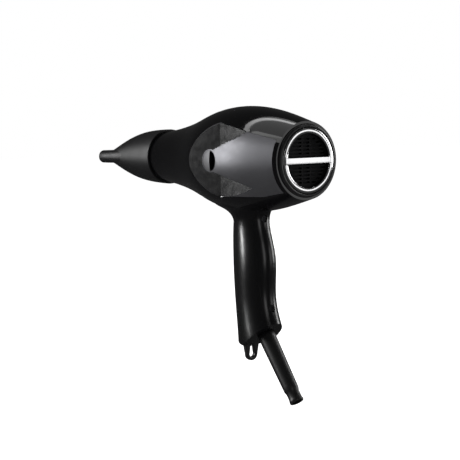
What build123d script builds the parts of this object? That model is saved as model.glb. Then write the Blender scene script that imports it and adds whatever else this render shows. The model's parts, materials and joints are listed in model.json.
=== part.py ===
from build123d import *
import math
import os

# Professional hand-held hair dryer. Millimetres, +X to the rear of the barrel, +Z up.
# The origin is the middle of the grip, on the handle's axis. Both sides mirror in the XZ plane.

# Barrel: a turned form, widest at its belly.
barrel_height = 100.0
nose_x = -126.3
belly_x = -2.0
rear_x = 72.0
nose_radius = 24.0
belly_radius = 46.3
rear_radius = 32.8
front_rise = [(0.236, 0.166), (0.501, 0.484), (0.739, 0.852)]
rear_fall = [(0.446, 0.244), (0.770, 0.659)]

# Walls: a skin laid in a recess of the housing, and the housing's own wall under it.
skin = 1.6
liner = 1.8
reveal = 0.15
wall = skin + liner

# Side flats: a sloping front flat and a level rear flat, with a raised tongue over them.
flat_half_width = 34.0
flat_fold_x = -1.5
flat_slope = 0.25
tongue_front_x = 2.0
tongue_half_height = 9.8
tongue_rise = 0.417
tongue_drop = 0.32
boss_radius = 9.8
boss_x = -2.0
inlay_radius = 9.0
inlay_depth = 5.3
inlay_wall = 0.8
panel_top_z = 32.6
panel_top_rear_z = 18.0
panel_bottom_z = -31.0
panel_bottom_rear_z = -26.0
panel_rear_x = 68.0
panel_shoulder = 17.0
panel_shoulder_top_z = 25.6
panel_shoulder_bottom_z = -25.0
panel_front_margin = 3.6
panel_corner_x = 46.0
panel_corner_rise = 0.8
blend = 0.4

# Front spigot and nozzle.
spigot_length = 20.0
spigot_radius = 22.4
spigot_bore = 20.6
spigot_root = 6.0
nozzle_gap = 0.8
nozzle_length = 69.2
nozzle_widening = 7.0
nozzle_heights = [(0.0, 1.0), (0.2, 0.983), (0.4, 0.938), (0.6, 0.815), (0.8, 0.542), (1.0, 0.158)]
nozzle_rear_radius = 26.0
nozzle_wall = 1.8
nozzle_least_height = 2.2
slot_half_width = 37.5
slot_land = 10.0
slot_root_half_width = 20.0
slot_outer_reach = 55.0
slot_bore_reach = 40.0
lip_half_height = 6.1
snap_ring_wall = 1.7
snap_ring_length = 9.0
snap_ring_inset = 3.0
turning_clearance = 0.05

# Rear cover.
rim_outer_radius = 30.5
rim_inner_radius = 27.6
rim_depth = 13.0
rim_stand_out = 2.6
rim_gap = 0.3
trim_outer_radius = 27.0
trim_inner_radius = 22.8
trim_bar_half_height = 2.5
trim_thickness = 1.6
grille_thickness = 2.0
grille_pitch = 3.0
grille_slot = 1.5
grille_seat = 1.6
grille_post_inner = 3.6
grille_post_outer = 5.0
filter_thickness = 0.8
filter_frame_width = 3.0
filter_frame_length = 1.5

# Fan, motor and heater, from the rear forwards.
shroud_outer_radius = 29.0
shroud_wall = 1.5
shroud_front_x = 4.0
shroud_rear_x = 56.0
shroud_flange = 2.0
rib_length = 4.0
fan_tip_gap = 0.8
fan_x = 44.0
fan_length = 10.0
fan_hub_radius = 9.0
fan_blades = 9
fan_blade_pitch = 38.0
fan_blade_width = 1.6
motor_radius = 17.5
motor_length = 36.0
motor_wall = 1.2
motor_overhang = 6.0
cap_thickness = 2.0
cap_boss_wall = 1.4
cap_spigot = 3.0
shaft_clearance = 1.0
cradle_wall = 1.5
cradle_vanes = 5
cradle_vane_width = 1.6
cradle_inset = 6.0
cradle_length = 20.0
shaft_radius = 2.0
bearing_radius = 5.5
bearing_length = 5.0
rotor_radius = 12.5
rotor_length = 20.0
rotor_inset = 11.0
commutator_radius = 5.0
commutator_length = 6.0
magnet_gap = 0.5
magnet_split = 12.0
brush_side = 4.0
brush_spring_room = 0.2
sleeve_wall = 0.6
sleeve_rear_x = -34.0
coil_radius = 16.6
coil_wire = 0.5
coil_turns = 12
mica_thickness = 0.8
mica_end = 1.0
fuse_radius = 2.0
coil_margin = 6.0
grille_length = 3.0
grille_ring_wall = 1.6
grille_mid_outer = 12.4
grille_mid_inner = 11.2
grille_hub = 4.5
grille_spokes = 8
grille_spoke_width = 1.2

# Handle: upright ellipses as (height, centre x, half depth, half width).
handle_sections = [
    (-66.0, 8.0, 24.5, 16.4),
    (-42.3, 5.5, 23.8, 16.0),
    (-20.4, 1.4, 21.9, 15.4),
    (6.2, 0.9, 22.8, 15.8),
    (28.0, -1.0, 21.6, 14.8),
    (45.0, -2.6, 18.8, 14.1),
]
neck_sections = [
    (45.0, -2.6, 18.8, 14.1),
    (50.0, -3.8, 19.7, 15.0),
    (54.5, -6.0, 23.0, 17.6),
    (59.0, -9.0, 31.0, 23.0),
    (62.0, -10.0, 36.0, 24.6),
]
handle_bottom_z = -64.0
rear_seam_top = (10.4, 52.0)
rear_seam_bottom = (22.5, -40.0)
front_seam_top = (-8.4, 44.0)
front_seam_bottom = (-1.0, -50.0)
foot_rounding = 3.0

# Cover screws: heights, and the wells they sit in.
screw_heights = [48.5, -29.2]
well_depth = 3.4
well_floor = 1.4
well_radius = 4.6
well_bore = 3.2
screw_length = 11.0
screw_radius = 1.4
screw_head_radius = 2.9
screw_head_height = 1.8
driver_slot_half = 0.4
driver_slot_depth = 0.9
driver_slot_reach = 2.0

# Cord exit: the handle's end is cut square to the sleeve that leaves it.
exit_x = 15.4
exit_z = -53.0
exit_angle = 52.4
boot_length = 67.2
boot_base_radius = 7.75
boot_end_radius = 6.6
boot_neck_radius = 5.75
boot_mouth_radius = 6.3
boot_bore = 4.4
boot_shank_radius = 6.2
boot_collar_radius = 8.0
boot_collar = 2.4
exit_overrun = 10.0
clamp_thickness = 2.5
clamp_screw_radius = 1.0
clamp_screw_spacing = 20.0
clamp_boss_wall = 0.9
clamp_head_wall = 0.7
clamp_head_height = 1.4
clamp_margin = 3.6

# Hanging loop.
loop_x = -6.0
loop_thickness = 4.0
loop_half_width = 7.8
loop_end_radius = 6.1
loop_end_z = -79.5
loop_eye_radius = 2.9
loop_anchor = 1.5
loop_eye_taper = 0.62
loop_eye_top = 2.2

# Controls, on the front of the grip.
speed_z = 18.0
heat_z = -3.0
rocker_depth = 5.9
rocker_half_width = 4.0
rocker_outline = [(1.6, -4.0), (-3.4, -8.2), (-7.9, -6.2), (-6.9, 0.0), (-7.9, 6.2), (-3.4, 8.2), (1.6, 4.0)]
rocker_reach = 8.9
rocker_clearance = 0.4
pivot_radius = 1.2
pin_inset = 0.2
ear_wall = 1.6
ear_reach = 1.9
switch_front = 2.4
cool_z = 37.0
button_radius = 4.2
button_clearance = 0.1
button_stand_out = 2.2
button_length = 9.2
button_flange_radius = 5.2
spring_radius = 2.8
spring_wire = 0.35
board_thickness = 1.6
board_half_width = 8.0
board_low_z = -14.0
board_high_z = 46.0
lead_radius = 1.0
lead_spread = 2.2

far = belly_radius + 20.0
barrel_axis = Axis((0, 0, barrel_height), (1, 0, 0))
side_view = Plane(origin=(0, 0, barrel_height), x_dir=(1, 0, 0), z_dir=(0, -1, 0))
exit_direction = Vector(math.cos(math.radians(exit_angle)), 0, -math.sin(math.radians(exit_angle)))
exit_plane = Plane(origin=(exit_x, 0, exit_z), x_dir=(0, 1, 0), z_dir=exit_direction)


def cross_plane(x):
    # Square to the barrel, centred on its axis: local x is Y and local y is Z.
    return Plane(origin=(x, 0, barrel_height), x_dir=(0, 1, 0), z_dir=(1, 0, 0))


def barrel_points(inset):
    front = belly_x - nose_x
    rear = rear_x - belly_x
    points = [(nose_x, nose_radius)]
    for along, up in front_rise:
        points.append((nose_x + along * front, nose_radius + up * (belly_radius - nose_radius)))
    points.append((belly_x, belly_radius))
    for along, down in rear_fall:
        points.append((belly_x + along * rear, belly_radius - down * (belly_radius - rear_radius)))
    points.append((rear_x, rear_radius))
    return [(x, radius - inset) for x, radius in points]


def barrel_form(inset):
    points = barrel_points(inset)
    with BuildPart() as form:
        with BuildSketch(side_view):
            with BuildLine():
                Spline(*points)
                Polyline(points[-1], (points[-1][0], 0), (points[0][0], 0), points[0])
            make_face()
        revolve(axis=barrel_axis)
    return form.part


def turned(outline):
    # A solid turned about the barrel axis from (x, radius) corners.
    with BuildPart() as form:
        with BuildSketch(side_view):
            with BuildLine():
                Polyline(*outline, close=True)
            make_face()
        revolve(axis=barrel_axis)
    return form.part


def ring(start_x, end_x, inner_radius, outer_radius):
    inner_edge = [(start_x, inner_radius), (end_x, inner_radius)]
    outer_edge = [(end_x, outer_radius), (start_x, outer_radius)]
    return turned(inner_edge + outer_edge)


def disc(start_x, end_x, radius):
    with BuildPart() as form:
        with BuildSketch(cross_plane(start_x)):
            Circle(radius)
        extrude(amount=end_x - start_x)
    return form.part


def upright_form(sections, inset):
    with BuildPart() as form:
        for height, centre, half_depth, half_width in sections:
            with BuildSketch(Plane.XY.offset(height)):
                with Locations((centre, 0)):
                    Ellipse(half_depth - inset, half_width - inset)
        loft()
    return form.part


def block(low, high):
    # A box between two corners.
    size = [high[i] - low[i] for i in range(3)]
    middle = [(high[i] + low[i]) / 2 for i in range(3)]
    with BuildPart() as form:
        with Locations(tuple(middle)):
            Box(*size)
    return form.part


def rod(start, end, radius):
    direction = Vector(*end) - Vector(*start)
    with BuildPart() as form:
        with BuildSketch(Plane(origin=start, z_dir=direction)):
            Circle(radius)
        extrude(amount=direction.length)
    return form.part


os.makedirs("parts", exist_ok=True)

# ---- Side flats -------------------------------------------------------------------------------


def tongue_prism(inset):
    # The tongue's outline seen from the side, pushed through the right half of the barrel.
    front = tongue_front_x + inset
    half = tongue_half_height - inset
    reach = far
    with BuildPart() as form:
        with BuildSketch(side_view):
            with BuildLine():
                Polyline(
                    (front, half),
                    (front + reach, half + tongue_rise * reach),
                    (front + reach, -half - tongue_drop * reach),
                    (front, -half),
                    close=True,
                )
            make_face()
            with Locations((boss_x, 0)):
                Circle(boss_radius - inset)
            with Locations(((boss_x + front) / 2, 0)):
                Rectangle(abs(front - boss_x) + blend, 2 * half)
        extrude(amount=far)
    return form.part


def flat_cut(inset):
    # Everything outside the right flats, with the tongue left standing.
    floor = flat_half_width - inset
    lead = flat_fold_x - nose_x
    with BuildPart() as form:
        with BuildSketch(Plane.XY):
            with BuildLine():
                Polyline(
                    (nose_x, -floor - flat_slope * lead),
                    (flat_fold_x, -floor),
                    (rear_x, -floor),
                    (rear_x, -far),
                    (nose_x, -far),
                    close=True,
                )
            make_face()
        extrude(amount=2 * barrel_height)
    return form.part - tongue_prism(inset)


def sculpted_form(inset):
    cut = flat_cut(inset)
    return barrel_form(inset) - cut - mirror(cut, about=Plane.XZ)


def panel_prism(grow):
    # The side panel's outline: a curved front edge, then two straight edges to the rear rim.
    front = flat_fold_x - (belly_radius - flat_half_width - panel_front_margin) / flat_slope
    with BuildPart() as form:
        with BuildSketch(side_view):
            with BuildLine():
                Spline(
                    (flat_fold_x, panel_top_z + grow),
                    (flat_fold_x - panel_shoulder, panel_shoulder_top_z + grow),
                    (front - grow, 0),
                    (flat_fold_x - panel_shoulder, panel_shoulder_bottom_z - grow),
                    (flat_fold_x, panel_bottom_z - grow),
                )
                Polyline(
                    (flat_fold_x, panel_bottom_z - grow),
                    (panel_corner_x, panel_bottom_z + panel_corner_rise - grow),
                    (panel_rear_x + grow, panel_bottom_rear_z - grow),
                    (panel_rear_x + grow, panel_top_rear_z + grow),
                    (flat_fold_x, panel_top_z + grow),
                )
            make_face()
        extrude(amount=far)
    return form.part


outer_form = sculpted_form(0)
seat_form = sculpted_form(skin)
inner_form = sculpted_form(wall)
panel_skin = outer_form - seat_form

# ---- Housing: barrel, neck and handle in one moulding ------------------------------------------


def exit_block(offset):
    # The space beyond the handle's slanted end, moved inwards by offset.
    with BuildPart() as form:
        with BuildSketch(exit_plane.offset(-offset)):
            Rectangle(4 * far, 4 * far)
        extrude(amount=far)
    return form.part


def handle_form(inset, end_inset):
    form = upright_form(handle_sections, inset) + upright_form(neck_sections, inset)
    low = handle_sections[0][0]
    foot = block((-far, -far, low - far), (far, far, handle_bottom_z + end_inset))
    return form - foot - exit_block(end_inset)


def rounded_handle():
    form = handle_form(0, 0)
    rims = form.edges().filter_by(GeomType.BSPLINE).filter_by_position(
        Axis.Z, handle_bottom_z - blend, handle_bottom_z + blend
    )
    return fillet(rims, foot_rounding)


def seam_prism(top, bottom, side, grow):
    # The strip of the handle behind (side 1) or in front of (side -1) a sloping seam line.
    edge = side * grow
    with BuildPart() as form:
        with BuildSketch(Plane.XZ.offset(-far)):
            with BuildLine():
                Polyline(
                    (top[0] - edge, top[1] + grow),
                    (bottom[0] - edge, bottom[1] - grow),
                    (side * far, bottom[1] - grow),
                    (side * far, top[1] + grow),
                    close=True,
                )
            make_face()
        extrude(amount=2 * far)
    return form.part


def surface_x(height):
    # The handle's rear face at a height, between the two nearest sections.
    sections = handle_sections + neck_sections[1:]
    for lower, upper in zip(sections, sections[1:]):
        if lower[0] <= height <= upper[0]:
            share = (height - lower[0]) / (upper[0] - lower[0])
            low_x = lower[1] + lower[2]
            high_x = upper[1] + upper[2]
            return low_x + share * (high_x - low_x)
    return 0.0


panel_recess = panel_skin & panel_prism(0)
panel_piece = panel_skin & panel_prism(-reveal)
spigot = ring(nose_x - spigot_length, nose_x + spigot_root, spigot_bore, spigot_radius)
rear_counterbore = disc(rear_x - rim_depth, rear_x + rim_depth, rim_outer_radius + rim_gap)
flange_x = shroud_rear_x - shroud_flange
shroud_rib = ring(flange_x - rib_length, flange_x, shroud_outer_radius, far)
shroud_rib = shroud_rib & inner_form

handle_outer = rounded_handle()
handle_seat = handle_form(skin, 0)
handle_inner = handle_form(wall, wall)
grip_skin = handle_outer - handle_seat - outer_form
front_recess = grip_skin & seam_prism(front_seam_top, front_seam_bottom, -1, 0)
rear_recess = grip_skin & seam_prism(rear_seam_top, rear_seam_bottom, 1, 0)
front_grip = grip_skin & seam_prism(front_seam_top, front_seam_bottom, -1, -reveal)
cover_zone = seam_prism(rear_seam_top, rear_seam_bottom, 1, -reveal) - handle_seat

housing = (outer_form - panel_recess - mirror(panel_recess, about=Plane.XZ)) + handle_outer
housing = housing - inner_form - handle_inner - front_recess - rear_recess
housing = housing + spigot + shroud_rib - rear_counterbore
screws = []
for height in screw_heights:
    seat_x = surface_x(height) - well_depth
    post = rod((seat_x - screw_length, 0, height), (seat_x - 0.5, 0, height), well_radius + wall)
    housing = housing + (post & handle_seat)
    housing = housing - rod((seat_x - well_floor, 0, height), (far, 0, height), well_radius)
    housing = housing - rod((seat_x - screw_length - 1, 0, height), (seat_x, 0, height), screw_radius)
    well = rod((seat_x - well_floor, 0, height), (seat_x + screw_length, 0, height), well_radius)
    cover_zone = cover_zone + well
    cover_zone = cover_zone - rod((seat_x, 0, height), (far, 0, height), well_bore)
    cover_zone = cover_zone - rod((seat_x - 5, 0, height), (seat_x + 1, 0, height), screw_radius)
    shank = rod((seat_x - screw_length + 1, 0, height), (seat_x, 0, height), screw_radius)
    head = rod((seat_x, 0, height), (seat_x + screw_head_height, 0, height), screw_head_radius)
    slot_x = seat_x + driver_slot_depth
    slot = block(
        (slot_x, -driver_slot_half, height - driver_slot_reach),
        (slot_x + screw_head_height, driver_slot_half, height + driver_slot_reach),
    )
    cross_slot = slot.rotate(Axis((0, 0, height), (1, 0, 0)), 90)
    screws.append(shank + head - slot - cross_slot)
rear_cover = (handle_outer & cover_zone) - outer_form


def front_x(height):
    # The handle's front face at a height, between the two nearest sections.
    sections = handle_sections + neck_sections[1:]
    for lower, upper in zip(sections, sections[1:]):
        if lower[0] <= height <= upper[0]:
            share = (height - lower[0]) / (upper[0] - lower[0])
            low_x = lower[1] - lower[2]
            high_x = upper[1] - upper[2]
            return low_x + share * (high_x - low_x)
    return 0.0


# Windows for the two rockers and the cool-shot button, through the grip and the wall behind it.
window_half_width = rocker_half_width + rocker_clearance
window_half_height = rocker_reach + rocker_clearance
ear_half_width = window_half_width + ear_wall
rocker_pivots = [(front_x(height) + rocker_depth, height) for height in (speed_z, heat_z)]
for pivot_x, height in rocker_pivots:
    window = block(
        (-far, -window_half_width, height - window_half_height),
        (pivot_x + 2.5, window_half_width, height + window_half_height),
    )
    ear_pocket = block(
        (pivot_x - ear_reach - 0.1, -ear_half_width - 0.1, height - ear_reach - 0.9),
        (pivot_x + 4, ear_half_width + 0.1, height + ear_reach + 0.9),
    )
    housing = housing - window - ear_pocket
    front_grip = front_grip - window
button_front_x = front_x(cool_z) - button_stand_out
button_rear_x = button_front_x + button_length
button_hole = rod((-far, 0, cool_z), (button_rear_x, 0, cool_z), button_radius + button_clearance)
housing = housing - button_hole
front_grip = front_grip - button_hole

def along_exit(distance):
    point = Vector(exit_x, 0, exit_z) + exit_direction * distance
    return (point.X, 0, point.Z)


# Cord exit, through the handle's end wall.
housing = housing - rod(along_exit(-exit_overrun), along_exit(exit_overrun), boot_shank_radius)


def loop_outline():
    # An eye on a tapering tab: local x is Y, local y is Z.
    centre = loop_end_z + loop_end_radius
    loop_plane = Plane(origin=(loop_x - loop_thickness / 2, 0, 0), x_dir=(0, 1, 0), z_dir=(1, 0, 0))
    with BuildSketch(loop_plane) as outline:
        with BuildLine():
            Polyline(
                (-loop_half_width, handle_bottom_z + wall + loop_anchor),
                (loop_half_width, handle_bottom_z + wall + loop_anchor),
                (loop_half_width, handle_bottom_z - 1),
                (loop_end_radius, centre),
                (-loop_end_radius, centre),
                (-loop_half_width, handle_bottom_z - 1),
                close=True,
            )
        make_face()
        with Locations((0, centre)):
            Circle(loop_end_radius)
            Circle(loop_eye_radius, mode=Mode.SUBTRACT)
        with BuildLine():
            Polyline(
                (-loop_eye_radius, centre),
                (-loop_eye_radius * loop_eye_taper, handle_bottom_z - loop_eye_top),
                (loop_eye_radius * loop_eye_taper, handle_bottom_z - loop_eye_top),
                (loop_eye_radius, centre),
                close=True,
            )
        make_face(mode=Mode.SUBTRACT)
    return outline.sketch


with BuildPart() as hanging_loop:
    add(extrude(loop_outline(), amount=loop_thickness))
    with Locations((loop_x, 0, handle_bottom_z + wall + loop_anchor / 2)):
        Box(loop_thickness + 2 * loop_anchor, 2 * (loop_half_width - loop_anchor), loop_anchor)
tab = block(
    (loop_x - loop_thickness / 2, -loop_half_width, handle_bottom_z - 5),
    (loop_x + loop_thickness / 2, loop_half_width, handle_bottom_z + wall),
)
housing = housing - tab

# ---- Inlays at the nose of each tongue ----------------------------------------------------------


def boss_disc(radius, low, high):
    # A disc standing out to the right, between two distances from the barrel's middle plane.
    with BuildPart() as form:
        with BuildSketch(side_view.offset(low)):
            with Locations((boss_x, 0)):
                Circle(radius)
        extrude(amount=high - low)
    return form.part


inlay_floor = belly_radius - inlay_depth
inlay_hole = boss_disc(inlay_radius, inlay_floor, far)
panel_piece = panel_piece - inlay_hole
housing = housing - inlay_hole - mirror(inlay_hole, about=Plane.XZ)
inlay_pocket = boss_disc(inlay_radius - inlay_wall, inlay_floor + inlay_wall, far)
inlay_pocket = inlay_pocket & block((boss_x + blend, -far, 0), (far, 0, 2 * barrel_height))
side_inlay = (inlay_hole & barrel_form(2 * reveal)) - inlay_pocket

# ---- Nozzle: a turned rear end blending into a flat slot ----------------------------------------
nozzle_rear_x = nose_x - nozzle_gap
nozzle_tip_x = nozzle_rear_x - nozzle_length


def nozzle_form(inset):
    with BuildPart() as form:
        for share, height_share in nozzle_heights:
            width = nozzle_rear_radius + nozzle_widening * share**0.85 - inset
            height = max(nozzle_rear_radius * height_share - inset, nozzle_least_height)
            with BuildSketch(cross_plane(nozzle_rear_x - share * nozzle_length)):
                Ellipse(width, height)
        loft()
    return form.part


def slot_form(inset, reach):
    # The flat fan of the slot: round-edged, widening towards the tip.
    with BuildPart() as form:
        with BuildSketch(Plane.XY.offset(barrel_height - lip_half_height + inset)):
            with BuildLine():
                Polyline(
                    (nozzle_tip_x, slot_half_width - inset),
                    (nozzle_tip_x + slot_land, slot_half_width - inset),
                    (nozzle_tip_x + reach, slot_root_half_width - inset),
                    (nozzle_tip_x + reach, inset - slot_root_half_width),
                    (nozzle_tip_x + slot_land, inset - slot_half_width),
                    (nozzle_tip_x, inset - slot_half_width),
                    close=True,
                )
            make_face()
        extrude(amount=2 * (lip_half_height - inset))
        side_edges = form.edges().filter_by(lambda edge: abs(edge.center().Y) > 15)
        side_edges = side_edges.filter_by(lambda edge: abs(edge.tangent_at(0.5).Z) < 0.1)
        side_edges = side_edges.filter_by(lambda edge: abs(edge.tangent_at(0.5).X) > 0.3)
        fillet(side_edges, lip_half_height - inset - 0.2)
    return form.part


nozzle_outer = nozzle_form(0) + slot_form(0, slot_outer_reach)
nozzle_bore = nozzle_form(nozzle_wall) + slot_form(nozzle_wall, slot_bore_reach)
mouth_half_width = slot_half_width - nozzle_wall - lip_half_height
mouth_half_height = lip_half_height - nozzle_wall
mouth_overrun = block(
    (nozzle_tip_x - nozzle_wall, -mouth_half_width, barrel_height - mouth_half_height),
    (nozzle_tip_x + 2 * nozzle_wall, mouth_half_width, barrel_height + mouth_half_height),
)
snap_outer = spigot_radius + turning_clearance + snap_ring_wall
socket_front_x = nozzle_rear_x - spigot_length - snap_ring_inset
socket_rear_x = nozzle_rear_x + snap_ring_inset
nozzle_socket = disc(socket_front_x, socket_rear_x, snap_outer + turning_clearance)
nozzle_shell = nozzle_outer - nozzle_bore - mouth_overrun - nozzle_socket
snap_front_x = nozzle_rear_x - snap_ring_inset - snap_ring_length
snap_rear_x = snap_front_x + snap_ring_length
nozzle_snap_ring = ring(snap_front_x, snap_rear_x, spigot_radius + turning_clearance, snap_outer)

# ---- Rear cover: rim, trim ring, grille and dust filter -----------------------------------------
ring_x = rear_x + rim_stand_out
rim_front_x = rear_x - rim_depth
rear_rim = turned(
    [
        (rim_front_x + 0.3, rim_inner_radius),
        (ring_x - 1.0, rim_inner_radius),
        (ring_x - 0.2, rim_inner_radius + 0.5),
        (ring_x, rim_inner_radius + 1.3),
        (ring_x - 0.5, rim_outer_radius - 0.6),
        (ring_x - 1.6, rim_outer_radius),
        (rim_front_x + 0.3, rim_outer_radius),
    ]
)
grille_x = ring_x - trim_thickness - grille_seat - grille_thickness
trim_x = ring_x - trim_thickness
rear_trim_ring = ring(trim_x, ring_x, trim_inner_radius, trim_outer_radius)
trim_bar = block(
    (trim_x, -trim_inner_radius - 1, barrel_height - trim_bar_half_height),
    (ring_x, trim_inner_radius + 1, barrel_height + trim_bar_half_height),
)
rear_trim_ring = rear_trim_ring + trim_bar
trim_seat = ring(grille_x + grille_thickness, trim_x, trim_inner_radius + 1.2, rim_inner_radius)
slot_reach = trim_inner_radius - 2 * blend
grille_rows = int((slot_reach - 2 * grille_slot) / grille_pitch)
with BuildPart() as grille:
    with BuildSketch(cross_plane(grille_x)):
        Circle(rim_inner_radius)
        for row in range(-grille_rows, grille_rows + 1):
            height = row * grille_pitch
            half = math.sqrt(slot_reach**2 - (abs(height) + grille_slot) ** 2)
            side_span = (grille_post_outer, half)
            spans = [(-half, -grille_post_outer), (-grille_post_inner, grille_post_inner), side_span]
            for start, end in spans:
                if end - start > grille_slot:
                    with Locations(((start + end) / 2, height)):
                        Rectangle(end - start, grille_slot, mode=Mode.SUBTRACT)
    extrude(amount=grille_thickness)
rear_grille = grille.part + trim_seat
filter_x = grille_x - filter_thickness
filter_mesh = disc(filter_x, grille_x, rim_inner_radius - 0.6)
frame_bore = rim_inner_radius - filter_frame_width
filter_frame = ring(filter_x - filter_frame_length, filter_x, frame_bore, rim_inner_radius)

# ---- Fan shroud with the motor's cradle ---------------------------------------------------------
shroud_inner = shroud_outer_radius - shroud_wall
fan_shroud = ring(shroud_front_x, shroud_rear_x, shroud_inner, shroud_outer_radius)
fan_shroud = fan_shroud + ring(flange_x, shroud_rear_x, shroud_inner, rim_outer_radius - 0.5)
cradle_front_x = shroud_front_x + cradle_inset
cradle_rear_x = cradle_front_x + cradle_length
cradle = ring(cradle_front_x, cradle_rear_x, motor_radius, motor_radius + cradle_wall)
with BuildPart() as vanes:
    with BuildSketch(cross_plane(cradle_front_x)):
        vane_middle = (motor_radius + cradle_wall + shroud_inner) / 2
        with PolarLocations(vane_middle, cradle_vanes, start_angle=90):
            Rectangle(shroud_inner - motor_radius - cradle_wall + 2 * blend, cradle_vane_width)
    extrude(amount=cradle_rear_x - cradle_front_x)
fan_shroud = fan_shroud + cradle + vanes.part

# ---- Motor --------------------------------------------------------------------------------------
motor_rear_x = cradle_rear_x + motor_overhang
motor_front_x = motor_rear_x - motor_length
can_bore = motor_radius - motor_wall
rear_pocket_x = motor_rear_x - motor_wall
pocket_end_x = motor_rear_x + bearing_length - 1
motor_can = disc(motor_front_x, motor_rear_x, motor_radius)
motor_can = motor_can - disc(motor_front_x - 1, rear_pocket_x, can_bore)
motor_can = motor_can + disc(rear_pocket_x, pocket_end_x, bearing_radius + motor_wall)
motor_can = motor_can - disc(rear_pocket_x - 1, motor_rear_x + bearing_length - 2, bearing_radius)
motor_can = motor_can - disc(rear_pocket_x - 1, fan_x, shaft_radius + shaft_clearance)
bearing_rear_x = motor_rear_x + bearing_length - 2
bearing_bore = shaft_radius + turning_clearance
rear_bearing = ring(bearing_rear_x - bearing_length, bearing_rear_x, bearing_bore, bearing_radius)
end_cap_x = motor_front_x - cap_thickness
motor_end_cap = disc(end_cap_x, motor_front_x, motor_radius) + ring(
    motor_front_x, motor_front_x + cap_spigot, can_bore - cap_boss_wall, can_bore
)
motor_end_cap = motor_end_cap + disc(end_cap_x - cap_spigot, end_cap_x, bearing_radius + cap_boss_wall)
motor_end_cap = motor_end_cap - disc(end_cap_x - cap_thickness, motor_front_x + 1, bearing_radius)
cap_bore = shaft_radius + shaft_clearance
motor_end_cap = motor_end_cap - disc(end_cap_x - 2 * cap_spigot, motor_front_x, cap_bore)
front_bearing_x = end_cap_x - cap_thickness
front_bearing = ring(front_bearing_x, front_bearing_x + bearing_length, bearing_bore, bearing_radius)
shaft_front_x = end_cap_x - 1.0
motor_shaft = disc(shaft_front_x, fan_x + fan_length - 1, shaft_radius)
rotor_start_x = motor_front_x + rotor_inset
rotor_core = ring(rotor_start_x, rotor_start_x + rotor_length - 4, shaft_radius, rotor_radius)
commutator = ring(rotor_start_x - commutator_length, rotor_start_x, shaft_radius, commutator_radius)
with BuildPart() as magnets:
    with BuildSketch(cross_plane(rotor_start_x - 1)):
        Circle(can_bore)
        Circle(rotor_radius + magnet_gap, mode=Mode.SUBTRACT)
        Rectangle(magnet_split, 2 * motor_radius, mode=Mode.SUBTRACT)
    extrude(amount=rotor_length - 2)
brush_start = commutator_radius + turning_clearance
brush_reach = can_bore - brush_start - brush_spring_room
brush_x = rotor_start_x - commutator_length / 2
with BuildPart() as brushes:
    for side in (-1, 1):
        with Locations((brush_x, side * (brush_start + brush_reach / 2), barrel_height)):
            Box(brush_side, brush_reach, brush_side)

# Axial fan: a hub on the shaft with twisted blades.
fan_tip_radius = shroud_inner - fan_tip_gap
with BuildPart() as fan:
    with BuildSketch(cross_plane(fan_x)):
        Circle(fan_hub_radius)
        Circle(shaft_radius, mode=Mode.SUBTRACT)
    extrude(amount=fan_length)
fan_blade = block(
    (fan_x, -fan_blade_width / 2, barrel_height + fan_hub_radius - 1.0),
    (fan_x + fan_length + 3, fan_blade_width / 2, barrel_height + fan_tip_radius - 0.3),
)
blade_axis = Axis((fan_x + fan_length / 2, 0, barrel_height), (0, 0, 1))
fan_blade = fan_blade.rotate(blade_axis, fan_blade_pitch)
fan_slab = ring(fan_x, fan_x + fan_length, fan_hub_radius - 1.0, fan_tip_radius)
fan_blade = fan_blade & fan_slab
fan_impeller = fan.part
for count in range(fan_blades):
    fan_impeller = fan_impeller + fan_blade.rotate(barrel_axis, count * 360 / fan_blades)

# ---- Heater: crossed boards, wire rings, sleeve and front grille --------------------------------
grille_front_x = nose_x - spigot_length + 1.0
sleeve_front_x = grille_front_x + grille_length
sleeve_radius = spigot_bore - blend
sleeve_bore = sleeve_radius - sleeve_wall
mica_sleeve = ring(sleeve_front_x, sleeve_rear_x, sleeve_bore, sleeve_radius)
board_start_x = sleeve_front_x + 3
board_end_x = sleeve_rear_x - 2
with BuildPart() as mica_boards:
    with BuildSketch(cross_plane(board_start_x)):
        Rectangle(2 * (coil_radius - coil_wire), mica_thickness)
        Rectangle(mica_thickness, 2 * (coil_radius - coil_wire))
    extrude(amount=board_end_x - board_start_x)
    for end_x in (board_start_x, board_end_x - mica_end):
        with BuildSketch(cross_plane(end_x)):
            Circle(sleeve_bore)
            Circle(coil_radius - 4, mode=Mode.SUBTRACT)
        extrude(amount=mica_end)
coil_pitch = (board_end_x - board_start_x - 2 * coil_margin) / (coil_turns - 1)
with BuildPart() as heater_coil:
    for turn in range(coil_turns):
        turn_x = board_start_x + coil_margin + turn * coil_pitch
        with BuildSketch(side_view):
            with Locations((turn_x, coil_radius)):
                Circle(coil_wire)
        revolve(axis=barrel_axis)
with BuildPart() as front_grille:
    with BuildSketch(cross_plane(grille_front_x)):
        Circle(spigot_bore)
        Circle(spigot_bore - grille_ring_wall, mode=Mode.SUBTRACT)
        Circle(grille_mid_outer)
        Circle(grille_mid_inner, mode=Mode.SUBTRACT)
        Circle(grille_hub)
    with BuildSketch(cross_plane(grille_front_x)):
        with PolarLocations((spigot_bore + grille_length) / 2, grille_spokes):
            Rectangle(spigot_bore - grille_hub + blend, grille_spoke_width)
    extrude(amount=grille_length)
thermostat = block((board_end_x - 16, 3, barrel_height + 0.4), (board_end_x - 6, 11, barrel_height + 4.4))
fuse_z = barrel_height + fuse_radius + mica_thickness / 2
thermal_fuse = rod((board_end_x - 34, 8, fuse_z), (board_end_x - 22, 8, fuse_z), fuse_radius)
air_guide = turned(
    [
        (sleeve_rear_x - 5, sleeve_radius),
        (sleeve_rear_x, sleeve_radius),
        (shroud_front_x, shroud_inner),
        (shroud_front_x, shroud_outer_radius),
        (sleeve_rear_x, sleeve_radius + 1.5),
        (sleeve_rear_x - 5, sleeve_radius + 1.5),
    ]
)
lead_x = end_cap_x - lead_radius
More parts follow.
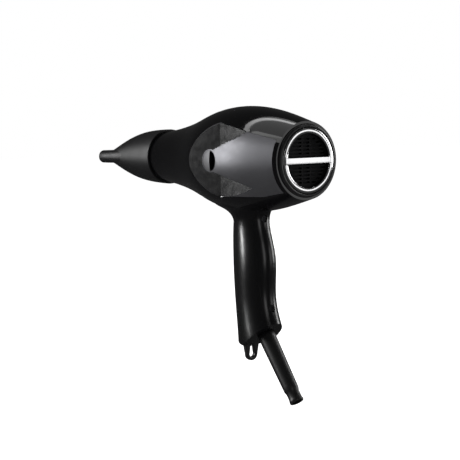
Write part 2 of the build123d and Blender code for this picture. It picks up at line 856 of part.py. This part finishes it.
air_guide = air_guide - rod((lead_x, 0, barrel_height - 35), (lead_x, 0, barrel_height - 16), 4.6)

# ---- Switches, board and leads in the handle ----------------------------------------------------
board_rear_x = lead_x - lead_radius
board_front_x = board_rear_x - board_thickness
switch_board = block(
    (board_front_x, -board_half_width, board_low_z), (board_rear_x, board_half_width, board_high_z)
)
rail_wall = 1.4
rail_front_x = board_front_x - rail_wall
rail_rear_x = board_rear_x + rail_wall
rail_start = board_half_width - 2 * blend
for side in (-1, 1):
    rail = block(
        (rail_front_x, min(side * rail_start, side * far), board_low_z + 4),
        (rail_rear_x, max(side * rail_start, side * far), board_high_z - 6),
    )
    housing = housing + (rail & handle_inner)
housing = housing - switch_board


def rocker_switch(pivot_x, height):
    # The switch's body on the board, with two ears that carry the rocker's pins.
    body = block(
        (pivot_x + switch_front, -ear_half_width, height - window_half_height + 0.2),
        (board_front_x, ear_half_width, height + window_half_height - 0.2),
    )
    for side in (-1, 1):
        near = side * window_half_width
        outer = side * ear_half_width
        body = body + block(
            (pivot_x - ear_reach, min(near, outer), height - ear_reach),
            (pivot_x + switch_front + 0.5, max(near, outer), height + ear_reach),
        )
    pin_hole = rod((pivot_x, -far, height), (pivot_x, far, height), pivot_radius + turning_clearance)
    return body - pin_hole


def rocker(pivot_x, height):
    with BuildPart() as form:
        side_plane = Plane(origin=(pivot_x, rocker_half_width, height), x_dir=(1, 0, 0), z_dir=(0, -1, 0))
        with BuildSketch(side_plane):
            with BuildLine():
                Polyline(*rocker_outline, close=True)
            make_face()
        extrude(amount=2 * rocker_half_width)
        front_edges = form.edges().filter_by(lambda edge: edge.center().X < pivot_x - 3)
        fillet(front_edges, 0.5)
    pin_reach = ear_half_width - pin_inset
    pin = rod((pivot_x, -pin_reach, height), (pivot_x, pin_reach, height), pivot_radius)
    return form.part + pin


speed_rocker, heat_rocker = [rocker(*place) for place in rocker_pivots]
speed_switch, heat_switch = [rocker_switch(*place) for place in rocker_pivots]

cool_shot_button = rod((button_front_x, 0, cool_z), (button_rear_x, 0, cool_z), button_radius)
cool_shot_button = fillet(cool_shot_button.edges().sort_by(Axis.X)[0], 0.8)
cool_shot_button = cool_shot_button + rod(
    (button_rear_x - 1.2, 0, cool_z), (button_rear_x, 0, cool_z), button_flange_radius
)
contact_front_x = board_front_x - 3.2
cool_switch = block((contact_front_x, -4.5, cool_z - 4.5), (board_front_x, 4.5, cool_z + 4.5))
spring_length = contact_front_x - button_rear_x
with BuildPart() as button_spring:
    with BuildLine() as spring_path:
        Helix(
            pitch=(spring_length - 2 * spring_wire) / 5,
            height=spring_length - 2 * spring_wire - 0.1,
            radius=spring_radius,
            center=(button_rear_x + spring_wire + 0.05, 0, cool_z),
            direction=(1, 0, 0),
        )
    with BuildSketch(Plane(origin=spring_path.line @ 0, z_dir=spring_path.line % 0)):
        Circle(spring_wire)
    sweep(path=spring_path.line, is_frenet=True)
suppressor = block((board_rear_x, -6, -1), (board_rear_x + 9, 6, 4))
terminal_block = block((board_rear_x, -7, board_low_z + 2), (board_rear_x + 8, 7, board_low_z + 12))
leads = []
lead_top = barrel_height - math.sqrt((bearing_radius + cap_boss_wall) ** 2 - lead_spread**2) - blend
lead_foot = board_low_z + 20
for side in (-1, 1):
    lead_y = side * lead_spread
    leads.append(rod((lead_x, lead_y, lead_foot), (lead_x, lead_y, lead_top), lead_radius))

# ---- Cord sleeve and its clamp ------------------------------------------------------------------
sleeve_profile = [
    (-wall - boot_collar, boot_bore),
    (-wall - boot_collar, boot_collar_radius),
    (-wall, boot_collar_radius),
    (-wall, boot_shank_radius),
    (0, boot_shank_radius),
    (0, boot_base_radius - 0.6),
    (0.6, boot_base_radius),
    (boot_length - 12, boot_end_radius),
    (boot_length - 9, boot_neck_radius),
    (boot_length - 4, boot_neck_radius),
    (boot_length - 1.2, boot_mouth_radius),
    (boot_length, boot_mouth_radius - 0.3),
    (boot_length, boot_bore),
]
boot_view = Plane(origin=(exit_x, 0, exit_z), x_dir=exit_direction, z_dir=(0, -1, 0))
with BuildPart() as cord_boot:
    with BuildSketch(boot_view):
        with BuildLine():
            Polyline(*sleeve_profile, close=True)
        make_face()
    revolve(axis=Axis((exit_x, 0, exit_z), exit_direction))
clamp_seat = exit_plane.offset(-wall - boot_collar)
with BuildPart() as clamp_blank:
    with BuildSketch(clamp_seat.offset(-clamp_thickness)):
        Rectangle(clamp_screw_spacing + clamp_margin, 2 * boot_collar_radius - 2)
        Circle(boot_bore, mode=Mode.SUBTRACT)
    extrude(amount=clamp_thickness)
cord_clamp = clamp_blank.part & handle_inner
clamp_screws = []
for side in (-1, 1):
    foot = Vector(*along_exit(-wall - boot_collar)) + Vector(0, side * clamp_screw_spacing / 2, 0)
    boss_end = foot + exit_direction * (boot_collar + blend)
    shank_end = foot + exit_direction * boot_collar
    head_seat = foot - exit_direction * clamp_thickness
    head_end = head_seat - exit_direction * clamp_head_height
    boss = rod(tuple(foot), tuple(boss_end), clamp_screw_radius + clamp_boss_wall)
    shank = rod(tuple(head_seat), tuple(shank_end), clamp_screw_radius)
    head = rod(tuple(head_end), tuple(head_seat), clamp_screw_radius + clamp_head_wall)
    housing = (housing + (boss & handle_form(wall, 0))) - shank
    cord_clamp = cord_clamp - shank
    clamp_screws.append(shank + head)

# ---- Files --------------------------------------------------------------------------------------
pieces = {
    "main_housing": housing,
    "side_panel_right": panel_piece,
    "side_panel_left": mirror(panel_piece, about=Plane.XZ),
    "side_inlay_right": side_inlay,
    "side_inlay_left": mirror(side_inlay, about=Plane.XZ),
    "front_grip": front_grip,
    "handle_rear_cover": rear_cover,
    "handle_screws": Compound(children=screws),
    "hanging_loop": hanging_loop.part,
    "nozzle_shell": nozzle_shell,
    "nozzle_snap_ring": nozzle_snap_ring,
    "rear_rim": rear_rim,
    "rear_trim_ring": rear_trim_ring,
    "rear_grille": rear_grille,
    "filter_mesh": filter_mesh,
    "filter_frame": filter_frame,
    "fan_shroud": fan_shroud,
    "motor_can": motor_can,
    "motor_end_cap": motor_end_cap,
    "rear_bearing": rear_bearing,
    "front_bearing": front_bearing,
    "field_magnets": magnets.part,
    "carbon_brushes": brushes.part,
    "motor_shaft": motor_shaft,
    "rotor_core": rotor_core,
    "commutator": commutator,
    "fan_impeller": fan_impeller,
    "mica_sleeve": mica_sleeve,
    "mica_boards": mica_boards.part,
    "heater_coil": heater_coil.part,
    "thermostat": thermostat,
    "thermal_fuse": thermal_fuse,
    "front_grille": front_grille.part,
    "air_guide": air_guide,
    "speed_rocker": speed_rocker,
    "heat_rocker": heat_rocker,
    "speed_switch": speed_switch,
    "heat_switch": heat_switch,
    "cool_shot_button": cool_shot_button,
    "cool_switch": cool_switch,
    "button_spring": button_spring.part,
    "switch_board": switch_board,
    "suppressor": suppressor,
    "terminal_block": terminal_block,
    "motor_leads": Compound(children=leads),
    "cord_boot": cord_boot.part,
    "cord_clamp": cord_clamp,
    "clamp_screws": Compound(children=clamp_screws),
}
for name, piece in pieces.items():
    piece.label = name
    export_step(piece, "parts/" + name + ".step")
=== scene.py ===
import bpy, bmesh, math, json
from mathutils import Matrix, Vector


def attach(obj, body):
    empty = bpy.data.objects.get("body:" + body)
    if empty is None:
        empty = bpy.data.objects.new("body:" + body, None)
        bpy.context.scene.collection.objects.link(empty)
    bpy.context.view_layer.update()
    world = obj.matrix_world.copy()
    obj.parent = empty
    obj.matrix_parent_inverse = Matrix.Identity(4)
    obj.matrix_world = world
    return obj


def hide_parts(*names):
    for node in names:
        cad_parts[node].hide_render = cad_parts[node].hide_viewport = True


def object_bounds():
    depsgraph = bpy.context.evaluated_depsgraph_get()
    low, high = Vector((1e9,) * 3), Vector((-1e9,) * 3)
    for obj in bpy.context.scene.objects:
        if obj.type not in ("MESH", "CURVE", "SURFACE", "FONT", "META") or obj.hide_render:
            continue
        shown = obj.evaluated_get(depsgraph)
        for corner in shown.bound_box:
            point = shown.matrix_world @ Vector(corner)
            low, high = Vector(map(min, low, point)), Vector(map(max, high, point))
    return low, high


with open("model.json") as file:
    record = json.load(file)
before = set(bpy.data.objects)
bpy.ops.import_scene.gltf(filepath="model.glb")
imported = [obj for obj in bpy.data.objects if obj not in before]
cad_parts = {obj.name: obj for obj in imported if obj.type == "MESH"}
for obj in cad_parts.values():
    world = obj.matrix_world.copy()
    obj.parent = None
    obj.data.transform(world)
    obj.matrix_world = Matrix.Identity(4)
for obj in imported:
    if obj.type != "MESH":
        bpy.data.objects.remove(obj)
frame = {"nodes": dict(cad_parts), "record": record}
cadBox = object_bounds()
nodes = frame["nodes"]
mm = 0.001
print("frame loaded", len(nodes), "nodes")


# Materials

def linearColour(hexText):
    channels = [int(hexText[i:i + 2], 16) / 255 for i in (1, 3, 5)]
    linear = [c / 12.92 if c <= 0.04045 else ((c + 0.055) / 1.055) ** 2.4 for c in channels]
    return linear + [1.0]


def toned(colour, share):
    return [c * share for c in colour[:3]] + [1.0]


def addNode(tree, kind, inputs=None, links=None, **settings):
    node = tree.nodes.new(kind)
    for name, value in settings.items():
        setattr(node, name, value)
    for name, value in (inputs or {}).items():
        node.inputs[name].default_value = value
    for name, source in (links or {}).items():
        tree.links.new(source, node.inputs[name])
    return node


def newMaterial(name, inputs):
    material = bpy.data.materials.new(name)
    material.use_nodes = True
    tree = material.node_tree
    shader = tree.nodes["Principled BSDF"]
    for socket, value in inputs.items():
        shader.inputs[socket].default_value = value
    where = addNode(tree, "ShaderNodeTexCoord").outputs["Object"]
    return material, tree, shader, where


def ramp(tree, source, stops):
    node = addNode(tree, "ShaderNodeValToRGB", links={"Fac": source})
    elements = node.color_ramp.elements
    while len(elements) < len(stops):
        elements.new(0.5)
    for element, (place, colour) in zip(elements, stops):
        element.position = place
        element.color = colour
    return node.outputs["Color"]


def grey(level):
    return [level, level, level, 1.0]


def bumpFrom(tree, shader, heights):
    # heights: (height socket, distance in mm, strength), laid one over the other
    normal = None
    for height, distance, strength in heights:
        links = {"Height": height}
        if normal is not None:
            links["Normal"] = normal
        node = addNode(tree, "ShaderNodeBump", {"Distance": distance * mm, "Strength": strength}, links)
        normal = node.outputs["Normal"]
    tree.links.new(normal, shader.inputs["Normal"])


def noise(tree, where, grainMm, detail=2.0, roughness=0.5):
    # one noise whose lumps are about grainMm across
    inputs = {"Scale": 1 / (grainMm * mm), "Detail": detail, "Roughness": roughness}
    return addNode(tree, "ShaderNodeTexNoise", inputs, {"Vector": where}).outputs["Fac"]


# heights in mm between which the handle's finish gives way to the barrel's
neckMm = {"from": 52, "to": 58}
# depth, lump size and strength of a moulding's slow swell and of its fine grain,
# in mm, for a look that gives none
reliefs = {
    "swell": {"depthMm": 0.02, "lumpMm": 18, "strength": 0.3},
    "grain": {"depthMm": 0.01, "lumpMm": 0.6, "strength": 0.4},
}
dustMm = 6


def plasticMaterial(name, look):
    # moulded plastic: even colour, faint flow variation, fine texture and a roughness that drifts a little
    material, tree, shader, where = newMaterial(name, {
        "Roughness": look["roughness"],
        "IOR": 1.5,
        "Specular IOR Level": look.get("specular", 0.5),
        "Metallic": look.get("metallic", 0.0),
    })
    flow = noise(tree, where, look.get("flowMm", 30), 3.0)
    base = linearColour(look["colour"])
    tone = look.get("tone", 0.08)
    stops = [(0.35, toned(base, 1 - tone)), (0.65, toned(base, 1 + tone))]
    tree.links.new(ramp(tree, flow, stops), shader.inputs["Base Color"])
    rough = look["roughness"]
    spread = look.get("spread", 0.03)
    dust = noise(tree, where, dustMm, 4.0, 0.6)
    finish = ramp(tree, dust, [(0.3, grey(max(rough - spread, 0.0))), (0.7, grey(rough + spread))])
    if look.get("gripRoughness"):
        # the handle is left finer than satin and the barrel is polished, with the change at the neck
        height = addNode(tree, "ShaderNodeSeparateXYZ", links={"Vector": where}).outputs["Z"]
        band = {
            "From Min": neckMm["from"] * mm,
            "From Max": neckMm["to"] * mm,
            "To Min": look["gripRoughness"] - rough,
            "To Max": 0.0,
        }
        level = addNode(tree, "ShaderNodeMapRange", band, {"Value": height})
        both = addNode(tree, "ShaderNodeMath", links={0: finish, 1: level.outputs["Result"]}, operation="ADD")
        finish = both.outputs["Value"]
    tree.links.new(finish, shader.inputs["Roughness"])
    heights = []
    for kind, relief in reliefs.items():
        depth = look.get(kind, relief["depthMm"])
        if depth:
            lumps = noise(tree, where, look.get(kind + "Mm", relief["lumpMm"]), 1.0)
            heights.append((lumps, depth, relief["strength"]))
    if heights:
        bumpFrom(tree, shader, heights)
    return material


streakLook = {"grainMm": 0.5, "depthMm": 0.004, "strength": 0.3, "shade": 0.86}


def metalMaterial(name, look):
    # metal: high metallic, drawn or plated, with faint streaks along one axis
    material, tree, shader, where = newMaterial(name, {"Metallic": 1.0, "Roughness": look["roughness"]})
    stretch = addNode(tree, "ShaderNodeMapping", {"Scale": look.get("stretch", (1, 1, 1))}, {"Vector": where})
    streak = noise(tree, stretch.outputs["Vector"], streakLook["grainMm"], 2.0)
    base = linearColour(look["colour"])
    stops = [(0.3, toned(base, streakLook["shade"])), (0.7, base)]
    tree.links.new(ramp(tree, streak, stops), shader.inputs["Base Color"])
    rough = look["roughness"]
    levels = [(0.3, grey(rough)), (0.7, grey(rough + look.get("spread", 0.08)))]
    tree.links.new(ramp(tree, streak, levels), shader.inputs["Roughness"])
    bumpFrom(tree, shader, [(streak, streakLook["depthMm"], streakLook["strength"])])
    return material


plastics = {
    "housing_gloss": ("high gloss ABS", {"colour": "#070708", "roughness": 0.06, "spread": 0.015,
                      "grain": 0.0, "swell": 0.0, "gripRoughness": 0.24}),
    "panel_satin": ("graphite metallic paint", {"colour": "#58585b", "roughness": 0.40, "tone": 0.04,
                    "grainMm": 0.6, "grain": 0.003, "metallic": 0.8, "swell": 0.0}),
    "flat_satin": ("dark satin ABS", {"colour": "#0a0a0b", "roughness": 0.20, "grainMm": 0.6, "grain": 0.001,
                   "swell": 0.0}),
    "inlay_gloss": ("satin painted ABS", {"colour": "#58585a", "roughness": 0.34, "metallic": 0.5,
                    "swell": 0.0}),
    "grip_soft": ("smooth black trim", {"colour": "#050506", "roughness": 0.3, "swell": 0.0, "grain": 0.004}),
    "loop_plastic": ("flexible nylon", {"colour": "#101011", "roughness": 0.42, "grainMm": 0.4}),
    "nozzle_matte": ("glass-filled nylon", {"colour": "#0d0d0e", "roughness": 0.46, "grainMm": 0.5,
                     "grain": 0.015, "specular": 0.35}),
    "rim_satin": ("satin black nylon", {"colour": "#121213", "roughness": 0.3}),
    "grille_black": ("black nylon", {"colour": "#050506", "roughness": 0.6, "specular": 0.18}),
    "inner_plastic": ("natural glass-filled nylon", {"colour": "#262626", "roughness": 0.55}),
    "carbon": ("pressed carbon", {"colour": "#202022", "roughness": 0.6, "grainMm": 0.3, "grain": 0.03}),
    "fan_plastic": ("moulded fan nylon", {"colour": "#18181a", "roughness": 0.5}),
    "mica": ("pressed mica sheet", {"colour": "#bfae8c", "roughness": 0.4, "tone": 0.25, "flowMm": 3,
             "grainMm": 1.2}),
    "switch_plastic": ("phenolic switch case", {"colour": "#2a2a2a", "roughness": 0.5}),
    "rocker_gloss": ("gloss black rocker ABS", {"colour": "#121213", "roughness": 0.16}),
    "button_blue": ("gloss blue ABS", {"colour": "#1c3f70", "roughness": 0.2}),
    "board": ("solder mask on glass board", {"colour": "#174f2b", "roughness": 0.35, "tone": 0.15,
              "flowMm": 2}),
    "terminal_white": ("white nylon terminal", {"colour": "#d9d7cf", "roughness": 0.5}),
    "lead_red": ("silicone lead", {"colour": "#8c1a14", "roughness": 0.5}),
    "boot_rubber": ("moulded TPE sleeve", {"colour": "#0a0a0b", "roughness": 0.42, "grainMm": 0.4,
                    "grain": 0.012}),
}
metals = {
    "screw_steel": ("blackened screw steel", {"colour": "#3a3a3c", "roughness": 0.35}),
    "trim_chrome": ("bright chrome plate", {"colour": "#f2f2f3", "roughness": 0.12, "spread": 0.04}),
    "filter_mesh": ("stainless wire cloth", {"colour": "#2b2b2c", "roughness": 0.5}),
    "motor_steel": ("zinc plated steel", {"colour": "#b4b5b8", "roughness": 0.3, "stretch": (8, 1, 1)}),
    "bearing_steel": ("ground bearing steel", {"colour": "#c4c5c8", "roughness": 0.22}),
    "magnet_iron": ("lacquered laminations", {"colour": "#4a4a4c", "roughness": 0.45,
                    "stretch": (1, 30, 30)}),
    "copper": ("turned copper", {"colour": "#c77a4a", "roughness": 0.3}),
    "heater_wire": ("oxidised resistance wire", {"colour": "#8c857c", "roughness": 0.4}),
}
finishes = {}
for slotName, (title, look) in plastics.items():
    finishes[slotName] = plasticMaterial(title, look)
for slotName, (title, look) in metals.items():
    finishes[slotName] = metalMaterial(title, look)
print("materials", len(finishes))

slotOf = {entry["node"]: entry["material_slot"] for entry in frame["record"]["subparts"]}
bodyOf = {name: body for body, names in frame["record"]["behaviour"]["bodies"].items() for name in names}
for name, node in nodes.items():
    node.data.materials.clear()
    node.data.materials.append(finishes[slotOf[name]])


# Moulded pieces: each is a merged copy of its solid, with smooth faces and, on some, softened edges

creaseDegrees = 32
# how far a face may lean, and lie from the flat's plane in mm, and still belong to the flat
flatTest = {"lean": 0.02, "nearMm": 0.15}


def finishedCopy(name, look, chooseEdges=None):
    bm = bmesh.new()
    bm.from_mesh(nodes[name].data)
    bmesh.ops.remove_doubles(bm, verts=bm.verts, dist=0.002 * mm)
    bmesh.ops.dissolve_degenerate(bm, edges=bm.edges, dist=0.001 * mm)
    bm.normal_update()
    limit = math.radians(creaseDegrees)
    if look.get("edgeMm"):
        creases = [e for e in bm.edges if e.is_manifold and e.calc_face_angle(0.0) > limit]
        if chooseEdges:
            creases = [e for e in creases if chooseEdges(e)]
        bmesh.ops.bevel(bm, geom=creases, offset=look["edgeMm"] * mm, offset_type="OFFSET", affect="EDGES",
                        segments=look.get("edgeSteps", 1), profile=0.5, clamp_overlap=chooseEdges is None,
                        material=-1)
        bm.normal_update()
    shadeLimit = math.radians(look.get("shadeDegrees", 40))
    for face in bm.faces:
        face.smooth = True
    for edge in bm.edges:
        edge.smooth = not (edge.is_manifold and edge.calc_face_angle(0.0) > shadeLimit)
    mesh = bpy.data.meshes.new(name + "_finished")
    bm.to_mesh(mesh)
    bm.free()
    mesh.materials.append(finishes[slotOf[name]])
    if "flatY" in look:
        # the recessed flats keep the dark moulded surface, and the raised tongue is painted
        mesh.materials.append(finishes["flat_satin"])
        for face in mesh.polygons:
            ahead = look["foldX"] - face.center.x / mm
            level = look["flatY"] + look["flatSlope"] * max(0, ahead)
            upright = abs(face.normal.z) < flatTest["lean"]
            facing = upright and (ahead > 0 or abs(face.normal.x) < flatTest["lean"])
            near = abs(abs(face.center.y) / mm - level) < flatTest["nearMm"]
            face.material_index = 1 if facing and near else 0
    if "paintedShadeBehindX" in look:
        # painted shade: the open half of the inlay, behind the fold, is painted in black plastic to stand for
        # the shadowed pocket under the tongue
        mesh.materials.append(finishes["grille_black"])
        for face in mesh.polygons:
            face.material_index = 1 if face.center.x > look["paintedShadeBehindX"] * mm else 0
    piece = bpy.data.objects.new(name + "_finished", mesh)
    bpy.context.scene.collection.objects.link(piece)
    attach(piece, bodyOf[name])
    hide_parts(name)
    return piece


mouldings = {
    "main_housing": {"shadeDegrees": 30},
    "side_panel_right": {"shadeDegrees": 9, "edgeMm": 1.3, "flatY": 34.0, "flatSlope": 0.25, "foldX": -1.5},
    "side_panel_left": {"shadeDegrees": 9, "edgeMm": 1.3, "flatY": 34.0, "flatSlope": 0.25, "foldX": -1.5},
    # the inlays carry painted shade: their rear half is painted black for the shadow in the pocket
    "side_inlay_right": {"shadeDegrees": 30, "paintedShadeBehindX": -1.8},
    "side_inlay_left": {"shadeDegrees": 30, "paintedShadeBehindX": -1.8},
    "front_grip": {"shadeDegrees": 30},
    "handle_rear_cover": {"shadeDegrees": 30},
    "nozzle_shell": {"shadeDegrees": 35},
    "rear_rim": {"shadeDegrees": 50},
    "rear_trim_ring": {"edgeMm": 0.12, "shadeDegrees": 50},
    "rear_grille": {"shadeDegrees": 30},
    "hanging_loop": {"edgeMm": 0.8, "edgeSteps": 3, "shadeDegrees": 50},
    "cord_boot": {"shadeDegrees": 50},
    "speed_rocker": {"shadeDegrees": 40},
    "heat_rocker": {"shadeDegrees": 40},
    "cool_shot_button": {"shadeDegrees": 40},
}
tongue = {
    "axisHeight": 100, "frontX": 2.0, "startsBehind": 1, "halfHeight": 9.8,
    "rise": 0.417, "drop": 0.32, "flatY": 34.0, "standsBy": 1.6, "near": 1.2,
}


def onTongueRim(edge):
    # the long upper and lower edges of the raised tongue, where it stands clear of the flat
    middle = (edge.verts[0].co + edge.verts[1].co) / (2 * mm)
    along = middle.x - tongue["frontX"]
    height = middle.z - tongue["axisHeight"]
    upper = abs(height - tongue["halfHeight"] - tongue["rise"] * along)
    lower = abs(height + tongue["halfHeight"] + tongue["drop"] * along)
    raised = abs(middle.y) > tongue["flatY"] + tongue["standsBy"]
    return min(upper, lower) < tongue["near"] and along > tongue["startsBehind"] and raised


for name, look in mouldings.items():
    finishedCopy(name, look, onTongueRim if name.startswith("side_panel") else None)
print("moulded pieces", len(mouldings))


# Studio: pale floor, soft boxes and the camera

studio = {"floorDrop": 0.004, "floorHalf": 6.0, "surround": 0.04}
softBoxes = {
    # place in metres, the point aimed at, width and height, and the brightness of the face
    "side": {"place": (-1.02, -1.21, 0.48), "aim": (0.0, 0.0, 0.10),
             "width": 0.22, "height": 1.1, "glow": 28.0},
    "strip": {"place": (-0.74, 0.06, 1.30), "aim": (0.0, 0.0, 0.12),
              "width": 1.5, "height": 0.07, "glow": 3.2},
    "corner": {"place": (-0.48, -0.75, 1.12), "aim": (0.0, 0.0, 0.12),
               "width": 0.4, "height": 0.3, "glow": 1.6},
    "sheen": {"place": (-0.50, -0.05, 1.42), "aim": (0.05, 0.0, 0.12),
              "width": 1.5, "height": 0.6, "glow": 0.7},
    "rear": {"place": (1.20, 1.00, 0.16), "aim": (0.07, 0.0, 0.10),
             "width": 0.6, "height": 0.54, "glow": 1.25},
    "rearRight": {"place": (1.55, -0.55, 0.30), "aim": (0.0, 0.0, 0.05),
                  "width": 0.4, "height": 0.8, "glow": 1.8},
    "left": {"place": (0.35, 1.50, 0.45), "aim": (0.0, 0.0, 0.08),
             "width": 0.5, "height": 1.1, "glow": 5.0},
    "leftSide": {"place": (-0.90, 1.30, 0.16), "aim": (0.0, 0.0, 0.08),
                 "width": 0.28, "height": 0.50, "glow": 6.0},
    "leftTop": {"place": (0.2, 0.7, 1.25), "aim": (0.0, 0.0, 0.12),
                "width": 0.9, "height": 0.12, "glow": 2.5},
}


def softBox(name, look):
    light = bpy.data.lights.new(name, "AREA")
    light.shape = "RECTANGLE"
    light.size = look["width"]
    light.size_y = look["height"]
    light.energy = look["glow"] * math.pi * look["width"] * look["height"]
    box = bpy.data.objects.new(name, light)
    box.location = look["place"]
    box.rotation_euler = (Vector(look["aim"]) - Vector(look["place"])).to_track_quat("-Z", "Y").to_euler()
    box.visible_camera = False
    bpy.context.scene.collection.objects.link(box)


def buildStudio():
    low = cadBox[0][2] - studio["floorDrop"]
    bm = bmesh.new()
    bmesh.ops.create_grid(bm, x_segments=1, y_segments=1, size=studio["floorHalf"])
    bmesh.ops.translate(bm, verts=bm.verts, vec=(0, 0, low))
    mesh = bpy.data.meshes.new("floor")
    bm.to_mesh(mesh)
    bm.free()
    floor = bpy.data.objects.new("floor", mesh)
    bpy.context.scene.collection.objects.link(floor)
    paper = newMaterial("white studio paper", {
        "Base Color": linearColour("#f4f4f4"),
        "Roughness": 0.9,
        "Emission Color": linearColour("#ffffff"),
        "Emission Strength": 1.0,
    })[0]
    mesh.materials.append(paper)
    floor.visible_glossy = False
    world = bpy.context.scene.world or bpy.data.worlds.new("studio")
    bpy.context.scene.world = world
    world.use_nodes = True
    tree = world.node_tree
    # the room is white to look at and dim to reflect, so that only the soft boxes show in the gloss
    background = tree.nodes["Background"]
    background.inputs["Color"].default_value = linearColour("#ffffff")
    seen = addNode(tree, "ShaderNodeLightPath").outputs["Is Camera Ray"]
    dimming = {"To Min": studio["surround"], "To Max": 1.0}
    level = addNode(tree, "ShaderNodeMapRange", dimming, {"Value": seen})
    tree.links.new(level.outputs["Result"], background.inputs["Strength"])
    for name, look in softBoxes.items():
        softBox(name, look)
    bpy.context.scene.view_settings.view_transform = "Standard"


cameraLook = {
    "place": (0.8236, -0.6532, 0.1380), "azimuth": 52.7148, "elevation": 5.4383, "roll": -0.9144,
    "lens": 93.91, "sensor": 36, "clipStart": 0.05, "clipEnd": 100,
}


def buildCamera():
    camera = bpy.data.cameras.new("camera")
    camera.lens = cameraLook["lens"]
    camera.sensor_width = cameraLook["sensor"]
    camera.clip_start = cameraLook["clipStart"]
    camera.clip_end = cameraLook["clipEnd"]
    turn = math.radians(cameraLook["azimuth"])
    lift = math.radians(cameraLook["elevation"])
    roll = math.radians(cameraLook["roll"])
    back = Vector((math.sin(turn) * math.cos(lift), -math.cos(turn) * math.cos(lift), math.sin(lift)))
    right = Vector((math.cos(turn), math.sin(turn), 0))
    up = back.cross(right)
    rolledRight = math.cos(roll) * right + math.sin(roll) * up
    rolledUp = math.cos(roll) * up - math.sin(roll) * right
    view = Matrix((rolledRight, rolledUp, back)).transposed().to_4x4()
    view.translation = Vector(cameraLook["place"])
    holder = bpy.data.objects.new("camera", camera)
    holder.matrix_world = view
    bpy.context.scene.collection.objects.link(holder)
    bpy.context.scene.camera = holder


buildStudio()
buildCamera()
print("studio ready")
